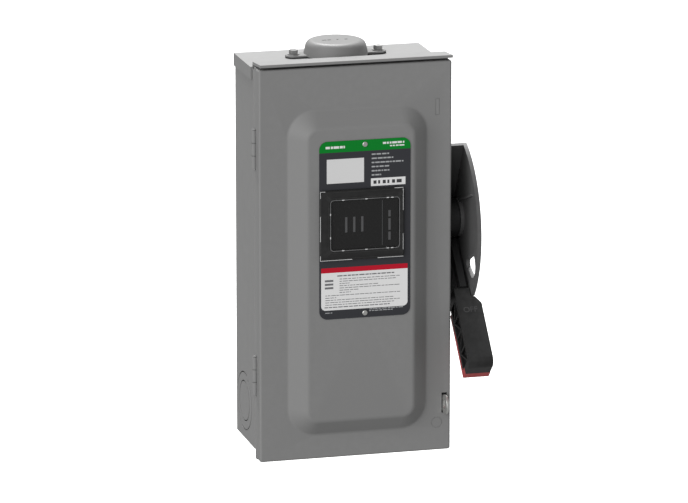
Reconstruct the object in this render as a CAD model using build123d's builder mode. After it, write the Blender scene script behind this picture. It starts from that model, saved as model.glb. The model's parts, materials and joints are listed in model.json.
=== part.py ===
from build123d import *
from math import atan2, cos, degrees, radians, sin, tan
import os

# Heavy-duty rainproof AC disconnect: a side-handle safety switch in a sheet-steel box.
# +Z up, the front faces -Y, the origin is the centre of the back face that meets the wall.

# ---------------------------------------------------------------- driving dimensions (mm)
sheet = 1.6                 # enclosure steel
box_width = 206.0
box_height = 427.0
box_depth = 108.0           # wall face to the front of the door
box_half = box_width / 2
front = -box_depth
roof_top = box_height / 2
box_bottom = -box_height / 2

door_past_left, door_past_right = 0.5, 9.5     # how far the door laps past the box
door_past_top, door_past_bottom = 2.0, 9.0
door_flange = 14.0          # depth of the door's turned edges
door_hinge_flange = 21.0    # the hinge side is deeper
door_bend = 2.4             # outside radius of the door's bends
door_gap = 1.0              # door sheet to the box's front returns

return_width = 12.0         # turned-in front edges of the box
joggle = 3.4                # inward step of the hinge-side wall under the door flange
joggle_end = 22.4           # depth of the joggle behind the door front

emboss_height = 16.0
emboss_left, emboss_right = 32.0, 28.0         # door edge to the emboss
emboss_top, emboss_bottom = 47.0, 28.0
emboss_run = 18.0           # width of the sloping border
emboss_corner = 30.0
emboss_crown_fillet = 7.0
emboss_root_fillet = 5.0

roof_gap = 0.3              # roof flanges to the side walls
roof_flange = 14.0
hood_reach = 30.5           # door front back to the foot of the hood
hood_rise = 5.8
hood_slope = 2.6
hood_overhang = 2.6         # in front of the door
hood_lip = 3.2
hood_from_left, hood_past_right = 0.9, 0.3     # from the door's edges

hub_opening_r = 28.0
cap_radius = 35.5
cap_height = 17.5           # above the roof
cap_taper = 3.5
cap_round = 7.5
cap_to_hood = 2.0
cap_screw_span = 95.2
cap_ear_r = 9.0
gasket_t = 1.5
cap_sheet = 1.6
cap_screw_r = 2.5
screw_gap = 0.15            # clearance round every screw shank

label_width, label_height, label_t = 102.0, 198.0, 0.8
label_drop = 31.6           # top of the emboss down to the label
label_shift = 3.8           # label centre right of the emboss centre
label_corner = 9.0
rivet_span = 188.0
rivet_r = 1.6
rivet_head_r = 2.9

bezel_width, bezel_height = 94.5, 78.0
bezel_shift = (-4.0, 6.2)    # bezel centre from the label centre
bezel_proud = 3.5
bezel_lip = 1.8
pane_width, pane_height, pane_t = 80.0, 59.0, 2.6
pane_shift = (3.3, -0.1)     # pane centre from the bezel centre
pane_rest = 2.0             # the pane laps behind the bezel by this much
pane_gap = 0.3
spigot_wall = 1.8
window_screw_r = 1.5
retainer_t = 3.0

hinge_from_top, hinge_from_bottom = 88.0, 85.5
hinge_length = 42.0
hinge_gap = 0.6
hinge_barrel_r = 3.0
hinge_pin_r = 1.5
hinge_fit = 0.05
hinge_x = -box_half - door_past_left - 1.0
hinge_y = front + 17.5
hinge_leaf_t = 1.5
hinge_tail = 3.5            # barrel axis to the door leaf

staple_t = 2.6
staple_z = box_bottom + 44.7
staple_r = 11.0
staple_hole_r = 5.0
staple_reach = 8.0          # hole centre in front of the door
staple_bar = 16.0           # width of the staple's shank
seal_reach, seal_half = 6.3, 14.5    # rubber behind the door's slot, from the box's side
seal_y = (4.2, 8.2)         # behind the door's face
slot_x = box_half + 2.4              # wider on the free side, so the door can swing off the staple
slot_width, slot_height = 6.2, 23.0
plug_r, score = 6.2, 0.7      # faint marks of the parts fixed behind the door's skin

knockout_y, knockout_z = -36.0, box_bottom + 42.5
knockout_radii = (23.0, 33.0)
knockout_slit = 1.3
knockout_tang = 5.0
bottom_knockout_y, bottom_knockout_pitch = -40.0, 58.0
bottom_knockout_radii = (14.0, 17.4)

wall_hole_r = 3.6
wall_hole_in, wall_hole_up = 28.0, 23.5        # from the box's sides, top and bottom

axis_y, axis_z = front + 54.0, 27.0   # handle shaft and rotor axis
shaft_r = 8.0
shaft_fit = 0.08
bush_r = 11.5
bush_flange_r = 15.0
base_t = 4.0                # handle base on the side wall
hub_r = 22.5
hub_start, hub_end = box_half + 6.0, box_half + 29.5
arm_t = 7.5
arm_outer_x = hub_end
arm_front, arm_back = -11.4, -22.0
off_angle = 42.5            # handle leans this far forward of straight down
grip_inner_x, grip_outer_x = box_half + 15.5, box_half + 43.9
grip_front, grip_back = -14.6, -48.5
red_t = 5.0                 # red backing of the grip
red_foot = 12.5             # its foot under the end of the grip
grip_start = 81.4
guard_boss = 4.5            # hub to the guard plate, boss and its gap
guard_inner_x, guard_t = hub_end + guard_boss, 4.5
grip_step_x = guard_inner_x - 1.1   # beyond this the grip starts further out, clear of the guard
grip_step, grip_shoulder = 91.4, 101.5
red_start = 98.0
grip_end = 168.0            # the red foot starts here
grip_tip = 176.0
grip_bend = 9.0             # round from the grip's front to its end
grip_cell = 19.0            # pitch of the hollows in its inner side
core_front, core_back, core_end = -18.0, -30.0, 160.0

guard_top = (-12.0, 86.0)   # from the shaft axis, y then z
guard_mid = (-73.0, -6.0)
guard_chin = (-46.9, -78.5)
guard_foot = (-14.0, -90.0)
guard_heel = (hub_r + 12.0, -1.0)
guard_heel_r = hub_r + 7.5
guard_wall = 4.0
guard_boss_r = hub_r - 1.5
guard_boss_gap = 0.5
guard_rib, guard_rib_end = 2.4, (-52.0, 36.0)   # stiffening rib from the boss forward
lock_hole_top = (-55.0, -29.2)
lock_hole_heel = (-22.0, -45.5)
lock_hole_foot = (-50.5, -57.1)
lock_hole_mid = (-63.0, -38.0)
lock_hole_round = 5.0

pole_pitch = 44.0
pole_x = 6.0
base_side = 78.0            # half the width of the switch base
base_bottom, base_top = -64.0, 122.0
base_back, base_front = -5.0, -13.0
post_front = -46.0
post_half = 15.0
blade_t = 2.4
blade_half = 6.5
blade_reach = 40.0
jaw_gap = 0.35
jaw_t = 1.6
strap_t = 2.5
strap_gap = 43.0            # from the axis to the end of each strap
rotor_r = 10.0
journal_r = 6.0
rotor_off_angle = 70.0
spring_r, spring_wire, spring_pitch, spring_turns = 11.5, 1.6, 2.6, 3
bearing_t = 4.0
lug_width, lug_depth, lug_height = 18.0, 13.5, 20.0
wire_r = 4.5
lug_screw_r = 4.0

# ---------------------------------------------------------------- derived places
door_left = -box_half - door_past_left
door_width = box_width + door_past_left + door_past_right
door_bottom = box_bottom - door_past_bottom
door_height = box_height + door_past_bottom + door_past_top
door_inner = front + sheet
box_front = door_inner + door_gap
wrap_top = roof_top - sheet
crown = front - emboss_height
label_face = crown - label_t
door_x = door_left + door_width / 2
door_z = door_bottom + door_height / 2
emboss_width = door_width - emboss_left - emboss_right
emboss_length = door_height - emboss_top - emboss_bottom
emboss_x = door_left + emboss_left + emboss_width / 2
emboss_z = door_bottom + emboss_bottom + emboss_length / 2
label_x = emboss_x + label_shift
label_z = emboss_z + emboss_length / 2 - label_drop - label_height / 2
bezel_x, bezel_z = label_x + bezel_shift[0], label_z + bezel_shift[1]
pane_x, pane_z = bezel_x + pane_shift[0], bezel_z + pane_shift[1]
hinge_centres = (roof_top - hinge_from_top, box_bottom + hinge_from_bottom)
hood_rear_y = front + hood_reach
hood_left = door_left + hood_from_left
hood_right = door_left + door_width + hood_past_right
hub_y = hood_rear_y + cap_to_hood + cap_radius   # centre of the conduit hub opening
wall_hole_dx, wall_hole_dz = box_width - 2 * wall_hole_in, box_height - 2 * wall_hole_up
base_mid = pole_x + 4.0
base_left, base_right = base_mid - base_side, base_mid + base_side
pole_centres = [pole_x + pole_pitch * n for n in (-1, 0, 1)]
cap_flange_z = roof_top + gasket_t

os.makedirs("parts", exist_ok=True)


def save(name, built):
    """Label a finished piece and write its STEP file."""
    built.part.label = name
    export_step(built.part, f"parts/{name}.step")


def facing_front(y):
    """Sketch plane at world y, drawn in X and Z, extruding towards the front."""
    return Plane.XZ.offset(-y)


def facing_right(x):
    """Sketch plane at world x, drawn in Y and Z, extruding towards +X."""
    return Plane.YZ.offset(x)


def handle_plane(x):
    """Plane at world x, drawn along the handle and towards its front face, extruding to -X."""
    lean = radians(off_angle)
    return Plane(
        origin=(x, axis_y, axis_z), x_dir=(0, -sin(lean), -cos(lean)), z_dir=(-1, 0, 0)
    )


def knockout_rings(radii, centre, tang_angle):
    """Slits of a concentric knockout, largest first, each left hanging on two tangs."""
    with Locations(centre):
        for radius in sorted(radii, reverse=True):
            Circle(radius)
            Circle(radius - knockout_slit, mode=Mode.SUBTRACT)
            Rectangle(2.2 * radius, knockout_tang, rotation=tang_angle, mode=Mode.SUBTRACT)


# ---------------------------------------------------------------- enclosure
with BuildPart() as enclosure_wrap:
    with BuildSketch(Plane.XY.offset(box_bottom)):
        with BuildLine():
            Polyline(
                (box_half - return_width, box_front),
                (box_half, box_front),
                (box_half, 0),
                (-box_half, 0),
                (-box_half, front + joggle_end + joggle),
                (joggle - box_half, front + joggle_end),
                (joggle - box_half, box_front),
                (joggle - box_half + return_width, box_front),
            )
            offset(amount=sheet, side=Side.LEFT, kind=Kind.INTERSECTION)
        make_face()
    extrude(amount=wrap_top - box_bottom)
    with BuildSketch(facing_front(0)):
        with GridLocations(wall_hole_dx, wall_hole_dz, 2, 2):
            Circle(wall_hole_r)
    extrude(amount=sheet, mode=Mode.SUBTRACT)
    with BuildSketch(facing_right(-box_half)):
        knockout_rings(knockout_radii, (knockout_y, knockout_z), 115)
    extrude(amount=sheet, mode=Mode.SUBTRACT)
    with BuildSketch(facing_right(box_half - sheet)):
        with Locations((axis_y, axis_z)):
            Circle(bush_r)
            with PolarLocations(hub_r, 3, start_angle=-60):
                Circle(2.0 + screw_gap)
    extrude(amount=sheet, mode=Mode.SUBTRACT)
    with BuildSketch(facing_right(joggle - box_half)):
        for centre in hinge_centres:
            with Locations((hinge_y + 2.0, centre)):
                Rectangle(4.6, hinge_length / 3)
    extrude(amount=sheet, mode=Mode.SUBTRACT)
save("enclosure_wrap", enclosure_wrap)

with BuildPart() as top_endwall:
    roof_half = box_half + roof_gap + sheet
    with BuildSketch(facing_right(-roof_half)):
        with Locations(((hood_rear_y + 1.5) / 2, roof_top - sheet / 2)):
            Rectangle(-hood_rear_y - 1.5, sheet)
    extrude(amount=2 * roof_half)
    with BuildSketch(facing_right(hood_left)):
        with BuildLine():
            hood_y = front - hood_overhang
            hood_z = roof_top + hood_rise + hood_slope
            FilletPolyline(
                (hood_rear_y + 3.5, roof_top),
                (hood_rear_y + 1.5, roof_top),
                (hood_rear_y, roof_top + hood_rise),
                (hood_y, hood_z),
                (hood_y, hood_z - hood_lip),
                radius=0.5,
            )
            offset(amount=sheet, side=Side.LEFT, kind=Kind.INTERSECTION)
        make_face()
    extrude(amount=hood_right - hood_left)
    for side_x in (hood_left, hood_right - sheet):
        with BuildSketch(facing_right(side_x)):
            with BuildLine():
                Polyline(
                    (hood_rear_y - 0.5, roof_top + hood_rise - sheet),
                    (hood_y + sheet, hood_z - sheet),
                    (hood_y + sheet, hood_z - hood_lip),
                    (hood_rear_y - 0.5, roof_top + hood_rise - hood_lip),
                    close=True,
                )
            make_face()
        extrude(amount=sheet)
    for side_x in (-roof_half, roof_half - sheet):
        with BuildSketch(facing_right(side_x)):
            with Locations((hood_rear_y / 2, roof_top - sheet - (roof_flange - sheet) / 2)):
                Rectangle(-hood_rear_y, roof_flange - sheet)
        extrude(amount=sheet)
    with BuildSketch(Plane.XY.offset(roof_top - sheet)):
        with Locations((0, hub_y)):
            Circle(hub_opening_r)
            with GridLocations(cap_screw_span, 1, 2, 1):
                Circle(cap_screw_r)
    extrude(amount=sheet, mode=Mode.SUBTRACT)
save("top_endwall", top_endwall)

with BuildPart() as bottom_endwall:
    floor_half = box_half - sheet
    floor_front = front + joggle_end + joggle + sheet
    with BuildSketch(Plane.XY.offset(box_bottom)):
        with Locations((0, (floor_front - sheet) / 2)):
            Rectangle(2 * floor_half, -floor_front - sheet)
        with Locations((joggle / 2, (floor_front + box_front + sheet) / 2)):
            Rectangle(2 * floor_half - joggle, floor_front - box_front - sheet)
    extrude(amount=sheet)
    with BuildSketch(Plane.XY.offset(box_bottom + sheet)):
        with GridLocations(2 * floor_half - sheet, 1, 2, 1):
            with Locations((0, floor_front / 2)):
                Rectangle(sheet, -floor_front - 2 * return_width)
    extrude(amount=return_width)
    with BuildSketch(Plane.XY.offset(box_bottom)):
        for step in (-1, 0, 1):
            centre = (step * bottom_knockout_pitch, bottom_knockout_y)
            knockout_rings(bottom_knockout_radii, centre, 45)
    extrude(amount=sheet, mode=Mode.SUBTRACT)
save("bottom_endwall", bottom_endwall)

with BuildPart() as hub_cap_gasket:
    with BuildSketch(Plane.XY.offset(roof_top)):
        with Locations((0, hub_y)):
            Circle(cap_radius)
            SlotCenterToCenter(cap_screw_span, 2 * cap_ear_r)
            Circle(hub_opening_r, mode=Mode.SUBTRACT)
            with GridLocations(cap_screw_span, 1, 2, 1):
                Circle(cap_screw_r + screw_gap, mode=Mode.SUBTRACT)
    extrude(amount=gasket_t)
save("hub_cap_gasket", hub_cap_gasket)

def cap_profile(inset):
    """Half section of the cap's dome, drawn in from its outside by inset."""
    top = roof_top + cap_height - inset
    with BuildSketch(facing_front(hub_y)) as half:
        with BuildLine():
            Polyline(
                (0, cap_flange_z), (cap_radius - inset, cap_flange_z),
                (cap_radius - cap_taper - inset, top), (0, top), close=True,
            )
        make_face()
        shoulder = vertices().group_by(Axis.Y)[-1].sort_by(Axis.X)[-1]
        fillet(shoulder, cap_round - inset)
    return half.sketch


with BuildPart() as hub_cap:
    with BuildSketch(Plane.XY.offset(cap_flange_z)):
        with Locations((0, hub_y)):
            Circle(cap_radius)
            SlotCenterToCenter(cap_screw_span, 2 * cap_ear_r)
            with GridLocations(cap_screw_span, 1, 2, 1):
                Circle(cap_screw_r + screw_gap, mode=Mode.SUBTRACT)
    extrude(amount=cap_sheet)
    add(revolve(cap_profile(0), axis=Axis((0, hub_y, 0), (0, 0, 1)), mode=Mode.PRIVATE))
    add(
        revolve(cap_profile(cap_sheet), axis=Axis((0, hub_y, 0), (0, 0, 1)), mode=Mode.PRIVATE),
        mode=Mode.SUBTRACT,
    )
save("hub_cap", hub_cap)

with BuildPart() as hub_cap_screws:
    flange_top = cap_flange_z + cap_sheet
    with BuildSketch(Plane.XY.offset(roof_top - 8)):
        with Locations((0, hub_y)), GridLocations(cap_screw_span, 1, 2, 1):
            Circle(cap_screw_r)
    extrude(amount=flange_top - roof_top + 8)
    with BuildSketch(Plane.XY.offset(flange_top)):
        with Locations((0, hub_y)), GridLocations(cap_screw_span, 1, 2, 1):
            Circle(6.6)
    extrude(amount=1.0)
    with BuildSketch(Plane.XY.offset(flange_top + 1.0)):
        with Locations((0, hub_y)), GridLocations(cap_screw_span, 1, 2, 1):
            RegularPolygon(5.2, 6)
            Rectangle(12, 1.3, mode=Mode.SUBTRACT)
    extrude(amount=4.4)
    with BuildSketch(Plane.XY.offset(flange_top + 1.0)):
        with Locations((0, hub_y)), GridLocations(cap_screw_span, 1, 2, 1):
            Circle(3.6)
    extrude(amount=3.0)
save("hub_cap_screws", hub_cap_screws)

# ---------------------------------------------------------------- door
def door_pan(inset, depth):
    """The pressed door as a solid pan, drawn in from its outside surface by inset."""
    climb = atan2(emboss_height, emboss_run)
    shrink = 2 * inset * tan(climb / 2)
    with BuildPart() as pan:
        with BuildSketch(facing_front(front + depth)):
            with Locations((door_x, door_z)):
                Rectangle(door_width - 2 * inset, door_height - 2 * inset)
        extrude(amount=depth - inset)
        fillet(edges().filter_by(Axis.Y), door_bend - inset)
        fillet(faces().sort_by(Axis.Y)[0].edges(), door_bend - inset)
        with BuildSketch(facing_front(front + inset)):
            with Locations((emboss_x, emboss_z)):
                RectangleRounded(
                    emboss_width - shrink, emboss_length - shrink, emboss_corner - shrink / 2
                )
        extrude(amount=emboss_height, taper=90 - degrees(climb))
        fillet(faces().sort_by(Axis.Y)[0].edges(), emboss_crown_fillet - inset)
        root = faces().filter_by(Plane.XZ).sort_by(Axis.Y)[1].inner_wires()[0].edges()
        fillet(root, emboss_root_fillet + inset)
    return pan.part


with BuildPart() as door_panel:
    add(door_pan(0, door_flange))
    add(door_pan(sheet, door_flange + sheet), mode=Mode.SUBTRACT)
    with BuildSketch(facing_front(front + door_hinge_flange)):
        with Locations((door_left + sheet / 2, door_z)):
            Rectangle(sheet, door_height)
        for centre in hinge_centres:
            with Locations((door_left + sheet / 2, centre)):
                Rectangle(sheet, hinge_length + 6 * hinge_gap, mode=Mode.SUBTRACT)
    extrude(amount=door_hinge_flange - door_flange)
    with BuildSketch(facing_front(crown + 2 * sheet)):
        with Locations((pane_x, pane_z)):
            Rectangle(pane_width + 2 * (pane_gap + spigot_wall), pane_height + 2 * (pane_gap + spigot_wall))
        with Locations((label_x, label_z)), GridLocations(1, rivet_span, 1, 2):
            Circle(rivet_r)
        with Locations((bezel_x, bezel_z)), GridLocations(bezel_width - 6, bezel_height - 6, 2, 2):
            Circle(window_screw_r + screw_gap)
    extrude(amount=3 * sheet, mode=Mode.SUBTRACT)
    with BuildSketch(facing_front(front + 2 * sheet)):
        with Locations((slot_x, staple_z)):
            Rectangle(slot_width, slot_height)
    extrude(amount=3 * sheet, mode=Mode.SUBTRACT)
    with BuildSketch(facing_front(front + 0.4)):
        with Locations((door_left + door_width - 15.7, door_bottom + 31.8)):
            Circle(plug_r)
            Circle(plug_r - score, mode=Mode.SUBTRACT)
        with Locations((door_left + door_width - 16.2, door_bottom + door_height - 50.5)):
            Rectangle(4.6, 18.6)
            Rectangle(4.6 - 2 * score, 18.6 - 2 * score, mode=Mode.SUBTRACT)
    extrude(amount=sheet, mode=Mode.SUBTRACT)
save("door_panel", door_panel)

with BuildPart() as label_plate:
    with BuildSketch(facing_front(crown)):
        with Locations((label_x, label_z)):
            RectangleRounded(label_width, label_height, label_corner)
            with GridLocations(1, rivet_span, 1, 2):
                Circle(rivet_r, mode=Mode.SUBTRACT)
        with Locations((pane_x, pane_z)):
            Rectangle(
                pane_width + 2 * (pane_gap + spigot_wall),
                pane_height + 2 * (pane_gap + spigot_wall),
                mode=Mode.SUBTRACT,
            )
        with Locations((bezel_x, bezel_z)), GridLocations(bezel_width - 6, bezel_height - 6, 2, 2):
            Circle(window_screw_r + screw_gap, mode=Mode.SUBTRACT)
    extrude(amount=label_t)
save("label_plate", label_plate)

with BuildPart() as label_rivets:
    with BuildSketch(facing_front(crown + sheet)):
        with Locations((label_x, label_z)), GridLocations(1, rivet_span, 1, 2):
            Circle(rivet_r)
    extrude(amount=sheet + label_t)
    with BuildSketch(facing_front(label_face)):
        with Locations((label_x, label_z)), GridLocations(1, rivet_span, 1, 2):
            Circle(rivet_head_r)
    extrude(amount=1.2)
    fillet(faces().filter_by(Axis.Y).sort_by(Axis.Y)[0:2].edges(), 0.8)
save("label_rivets", label_rivets)

with BuildPart() as window_bezel:
    bezel_front = label_face - bezel_proud
    with BuildSketch(facing_front(label_face)):
        with Locations((bezel_x, bezel_z)):
            RectangleRounded(bezel_width, bezel_height, 4.0)
    extrude(amount=bezel_proud)
    fillet(faces().sort_by(Axis.Y)[0].edges(), 1.0)
    with BuildSketch(facing_front(crown + sheet)):
        with Locations((pane_x, pane_z)):
            Rectangle(
                pane_width + 2 * (pane_gap + spigot_wall) - 0.2,
                pane_height + 2 * (pane_gap + spigot_wall) - 0.2,
            )
    extrude(amount=sheet + label_t)
    with BuildSketch(facing_front(crown + sheet)):
        with Locations((pane_x, pane_z)):
            Rectangle(pane_width + 2 * pane_gap, pane_height + 2 * pane_gap)
    extrude(amount=sheet + label_t + bezel_proud - bezel_lip, mode=Mode.SUBTRACT)
    with BuildSketch(facing_front(label_face)):
        with Locations((pane_x, pane_z)):
            RectangleRounded(pane_width - 2 * pane_rest, pane_height - 2 * pane_rest, 3.0)
    extrude(amount=bezel_proud, mode=Mode.SUBTRACT)
    with BuildSketch(facing_front(label_face)):
        with Locations((bezel_x, bezel_z)), GridLocations(bezel_width - 6, bezel_height - 6, 2, 2):
            Circle(window_screw_r)
    extrude(amount=bezel_proud - 1.2, mode=Mode.SUBTRACT)
save("window_bezel", window_bezel)

pane_front = bezel_front + bezel_lip
with BuildPart() as window_pane:
    with BuildSketch(facing_front(pane_front + pane_t)):
        with Locations((pane_x, pane_z)):
            Rectangle(pane_width, pane_height)
    extrude(amount=pane_t)
save("window_pane", window_pane)

retainer_face = crown + sheet
with BuildPart() as window_gasket:
    with BuildSketch(facing_front(retainer_face)):
        with Locations((pane_x, pane_z)):
            Rectangle(pane_width, pane_height)
            Rectangle(pane_width - 3 * pane_rest, pane_height - 3 * pane_rest, mode=Mode.SUBTRACT)
    extrude(amount=retainer_face - pane_front - pane_t)
save("window_gasket", window_gasket)

with BuildPart() as window_retainer:
    with BuildSketch(facing_front(retainer_face + retainer_t)):
        with Locations((bezel_x, bezel_z)):
            RectangleRounded(bezel_width, bezel_height, 4.0)
            with GridLocations(bezel_width - 6, bezel_height - 6, 2, 2):
                Circle(window_screw_r + screw_gap, mode=Mode.SUBTRACT)
        with Locations((pane_x, pane_z)):
            Rectangle(pane_width - 3 * pane_rest, pane_height - 3 * pane_rest, mode=Mode.SUBTRACT)
    extrude(amount=retainer_t)
save("window_retainer", window_retainer)

with BuildPart() as window_screws:
    screw_seat = retainer_face + retainer_t
    with BuildSketch(facing_front(screw_seat)):
        with Locations((bezel_x, bezel_z)), GridLocations(bezel_width - 6, bezel_height - 6, 2, 2):
            Circle(window_screw_r)
    extrude(amount=screw_seat - label_face + bezel_proud - 1.4)
    with BuildSketch(facing_front(screw_seat + 1.6)):
        with Locations((bezel_x, bezel_z)), GridLocations(bezel_width - 6, bezel_height - 6, 2, 2):
            Circle(2.6)
            Rectangle(5.4, 0.7, mode=Mode.SUBTRACT)
    extrude(amount=1.6)
save("window_screws", window_screws)

# ---------------------------------------------------------------- hinges
knuckle = (hinge_length - 2 * hinge_gap) / 3
knuckle_step = knuckle + hinge_gap
with BuildPart() as door_hinge_leaves:
    for centre in hinge_centres:
        with BuildSketch(Plane.XY.offset(centre - hinge_length / 2)):
            with Locations((door_left + sheet, hinge_y - hinge_tail)):
                Rectangle(hinge_leaf_t, 10.0, align=(Align.MIN, Align.MAX))
        extrude(amount=hinge_length)
        for end in (-1, 1):
            with BuildSketch(Plane.XY.offset(centre + end * knuckle_step - knuckle / 2)):
                with Locations((hinge_x, hinge_y)):
                    Circle(hinge_barrel_r)
                with Locations((door_left + sheet + hinge_leaf_t, hinge_y)):
                    Rectangle(2.6, hinge_tail, align=(Align.MAX, Align.MAX))
                with Locations((hinge_x, hinge_y)):
                    Circle(hinge_pin_r + hinge_fit, mode=Mode.SUBTRACT)
            extrude(amount=knuckle)
save("door_hinge_leaves", door_hinge_leaves)

with BuildPart() as box_hinge_leaves:
    leaf_x = joggle - box_half + sheet
    for centre in hinge_centres:
        with BuildSketch(Plane.XY.offset(centre - knuckle / 2)):
            with Locations((hinge_x, hinge_y)):
                Circle(hinge_barrel_r)
            with Locations((hinge_x, hinge_y)):
                Rectangle(leaf_x - hinge_x, 2.6, align=(Align.MIN, Align.MIN))
            with Locations((hinge_x, hinge_y)):
                Circle(hinge_pin_r, mode=Mode.SUBTRACT)
        extrude(amount=knuckle)
        with BuildSketch(Plane.XY.offset(centre - hinge_length / 2)):
            with Locations((leaf_x, hinge_y - 2.0)):
                Rectangle(hinge_leaf_t, 8.0, align=(Align.MIN, Align.MIN))
        extrude(amount=hinge_length)
save("box_hinge_leaves", box_hinge_leaves)

with BuildPart() as hinge_pins:
    for centre in hinge_centres:
        with BuildSketch(Plane.XY.offset(centre - hinge_length / 2)):
            with Locations((hinge_x, hinge_y)):
                Circle(hinge_pin_r)
        extrude(amount=hinge_length)
        with BuildSketch(Plane.XY.offset(centre + hinge_length / 2 + 0.3)):
            with Locations((hinge_x, hinge_y)):
                Circle(2.4)
        extrude(amount=1.0)
        with BuildSketch(Plane.XY.offset(centre + hinge_length / 2)):
            with Locations((hinge_x, hinge_y)):
                Circle(hinge_pin_r)
        extrude(amount=0.3)
save("hinge_pins", hinge_pins)

with BuildPart() as hasp_staple:
    with BuildSketch(facing_right(box_half)):
        with Locations((front - staple_reach, staple_z)):
            Circle(staple_r)
        with Locations((front - staple_reach, staple_z)):
            Rectangle(staple_reach + 30.0, staple_bar, align=(Align.MIN, Align.CENTER))
        with Locations((front - staple_reach, staple_z)):
            Circle(staple_hole_r, mode=Mode.SUBTRACT)
    extrude(amount=staple_t)
    fillet(edges().filter_by(GeomType.CIRCLE).group_by(SortBy.RADIUS)[-1], 0.5)
save("hasp_staple", hasp_staple)

with BuildPart() as staple_seal:
    with BuildSketch(facing_front(front + seal_y[1])):
        with Locations((box_half, staple_z)):
            Rectangle(seal_reach, 2 * seal_half, align=(Align.MIN, Align.CENTER))
            Rectangle(staple_t, staple_bar, align=(Align.MIN, Align.CENTER), mode=Mode.SUBTRACT)
    extrude(amount=seal_y[1] - seal_y[0])
save("staple_seal", staple_seal)

# ---------------------------------------------------------------- side mechanism
def from_axis(point):
    """Place a y, z offset from the shaft axis in the side-view sketch."""
    return (axis_y + point[0], axis_z + point[1])


with BuildPart() as handle_guard:
    with BuildSketch(facing_right(guard_inner_x)) as guard_face:
        with BuildLine():
            FilletPolyline(
                from_axis(guard_top), from_axis(guard_heel), from_axis(guard_foot),
                radius=guard_heel_r,
            )
            Line(from_axis(guard_foot), from_axis(guard_chin))
            ThreePointArc(from_axis(guard_chin), from_axis(guard_mid), from_axis(guard_top))
        make_face()
        with BuildLine():
            FilletPolyline(
                from_axis(lock_hole_top), from_axis(lock_hole_heel), from_axis(lock_hole_foot),
                radius=lock_hole_round,
            )
            ThreePointArc(
                from_axis(lock_hole_foot), from_axis(lock_hole_mid), from_axis(lock_hole_top)
            )
        make_face(mode=Mode.SUBTRACT)
    extrude(amount=guard_t)
    guard_base_x = box_half + base_t
    with BuildSketch(facing_right(guard_base_x)):
        with BuildLine():
            FilletPolyline(
                from_axis(guard_top), from_axis(guard_heel), from_axis(guard_foot),
                radius=guard_heel_r,
            )
            offset(amount=guard_wall, side=Side.RIGHT)
        make_face()
    extrude(amount=guard_inner_x - guard_base_x)
    with BuildSketch(facing_right(guard_inner_x)):
        with Locations((axis_y, axis_z)):
            Circle(guard_boss_r)
    extrude(amount=-(guard_inner_x - hub_end - guard_boss_gap))
    with BuildSketch(facing_right(guard_inner_x)):
        with BuildLine():
            Line(from_axis((0, guard_boss_r - guard_rib)), from_axis(guard_rib_end))
            offset(amount=guard_rib / 2, side=Side.BOTH)
        make_face()
    extrude(amount=-guard_rib)
    with BuildSketch(facing_right(hub_end)):
        with Locations((axis_y, axis_z)):
            Circle(shaft_r + shaft_fit)
    extrude(amount=guard_inner_x - hub_end + 2.5, mode=Mode.SUBTRACT)
save("handle_guard", handle_guard)

with BuildPart() as handle_base:
    with BuildSketch(facing_right(box_half)):
        with BuildLine():
            FilletPolyline(
                from_axis(guard_top), from_axis(guard_heel), from_axis(guard_foot),
                radius=guard_heel_r,
            )
            Line(from_axis(guard_foot), from_axis(guard_top))
        make_face()
        with Locations((axis_y, axis_z)):
            Circle(hub_r + 6.0)
            Circle(bush_r, mode=Mode.SUBTRACT)
            with PolarLocations(hub_r, 3, start_angle=-60):
                Circle(2.0 + screw_gap, mode=Mode.SUBTRACT)
    extrude(amount=base_t)
save("handle_base", handle_base)

plate_x = box_half - sheet - 2.0
with BuildPart() as mechanism_plate:
    with BuildSketch(facing_right(plate_x)):
        with Locations((axis_y, axis_z)):
            RectangleRounded(76, 110, 8)
            Circle(bush_r, mode=Mode.SUBTRACT)
            with PolarLocations(hub_r, 3, start_angle=-60):
                Circle(2.0 + screw_gap, mode=Mode.SUBTRACT)
    extrude(amount=2.0)
save("mechanism_plate", mechanism_plate)

with BuildPart() as handle_base_screws:
    with BuildSketch(facing_right(plate_x)):
        with Locations((axis_y, axis_z)), PolarLocations(hub_r, 3, start_angle=-60):
            Circle(2.0)
    extrude(amount=box_half + base_t - plate_x)
    with BuildSketch(facing_right(plate_x - 2.4)):
        with Locations((axis_y, axis_z)), PolarLocations(hub_r, 3, start_angle=-60):
            Circle(3.8)
            Rectangle(8, 1.0, mode=Mode.SUBTRACT)
    extrude(amount=2.4)
save("handle_base_screws", handle_base_screws)

with BuildPart() as shaft_bushing:
    with BuildSketch(facing_right(plate_x)):
        with Locations((axis_y, axis_z)):
            Circle(bush_r)
    extrude(amount=box_half + base_t - plate_x)
    with BuildSketch(facing_right(box_half + base_t)):
        with Locations((axis_y, axis_z)):
            Circle(bush_flange_r)
    extrude(amount=1.5)
    with BuildSketch(facing_right(plate_x)):
        with Locations((axis_y, axis_z)):
            Circle(shaft_r + shaft_fit)
    extrude(amount=box_half + base_t + 1.5 - plate_x, mode=Mode.SUBTRACT)
save("shaft_bushing", shaft_bushing)

# ---------------------------------------------------------------- handle
shaft_start = base_right - 2.0
with BuildPart() as handle_shaft:
    with BuildSketch(facing_right(shaft_start)):
        with Locations((axis_y, axis_z)):
            Circle(shaft_r)
    extrude(amount=guard_inner_x + 2.0 - shaft_start)
    chamfer(edges().filter_by(GeomType.CIRCLE), 0.6)
save("handle_shaft", handle_shaft)

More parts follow.
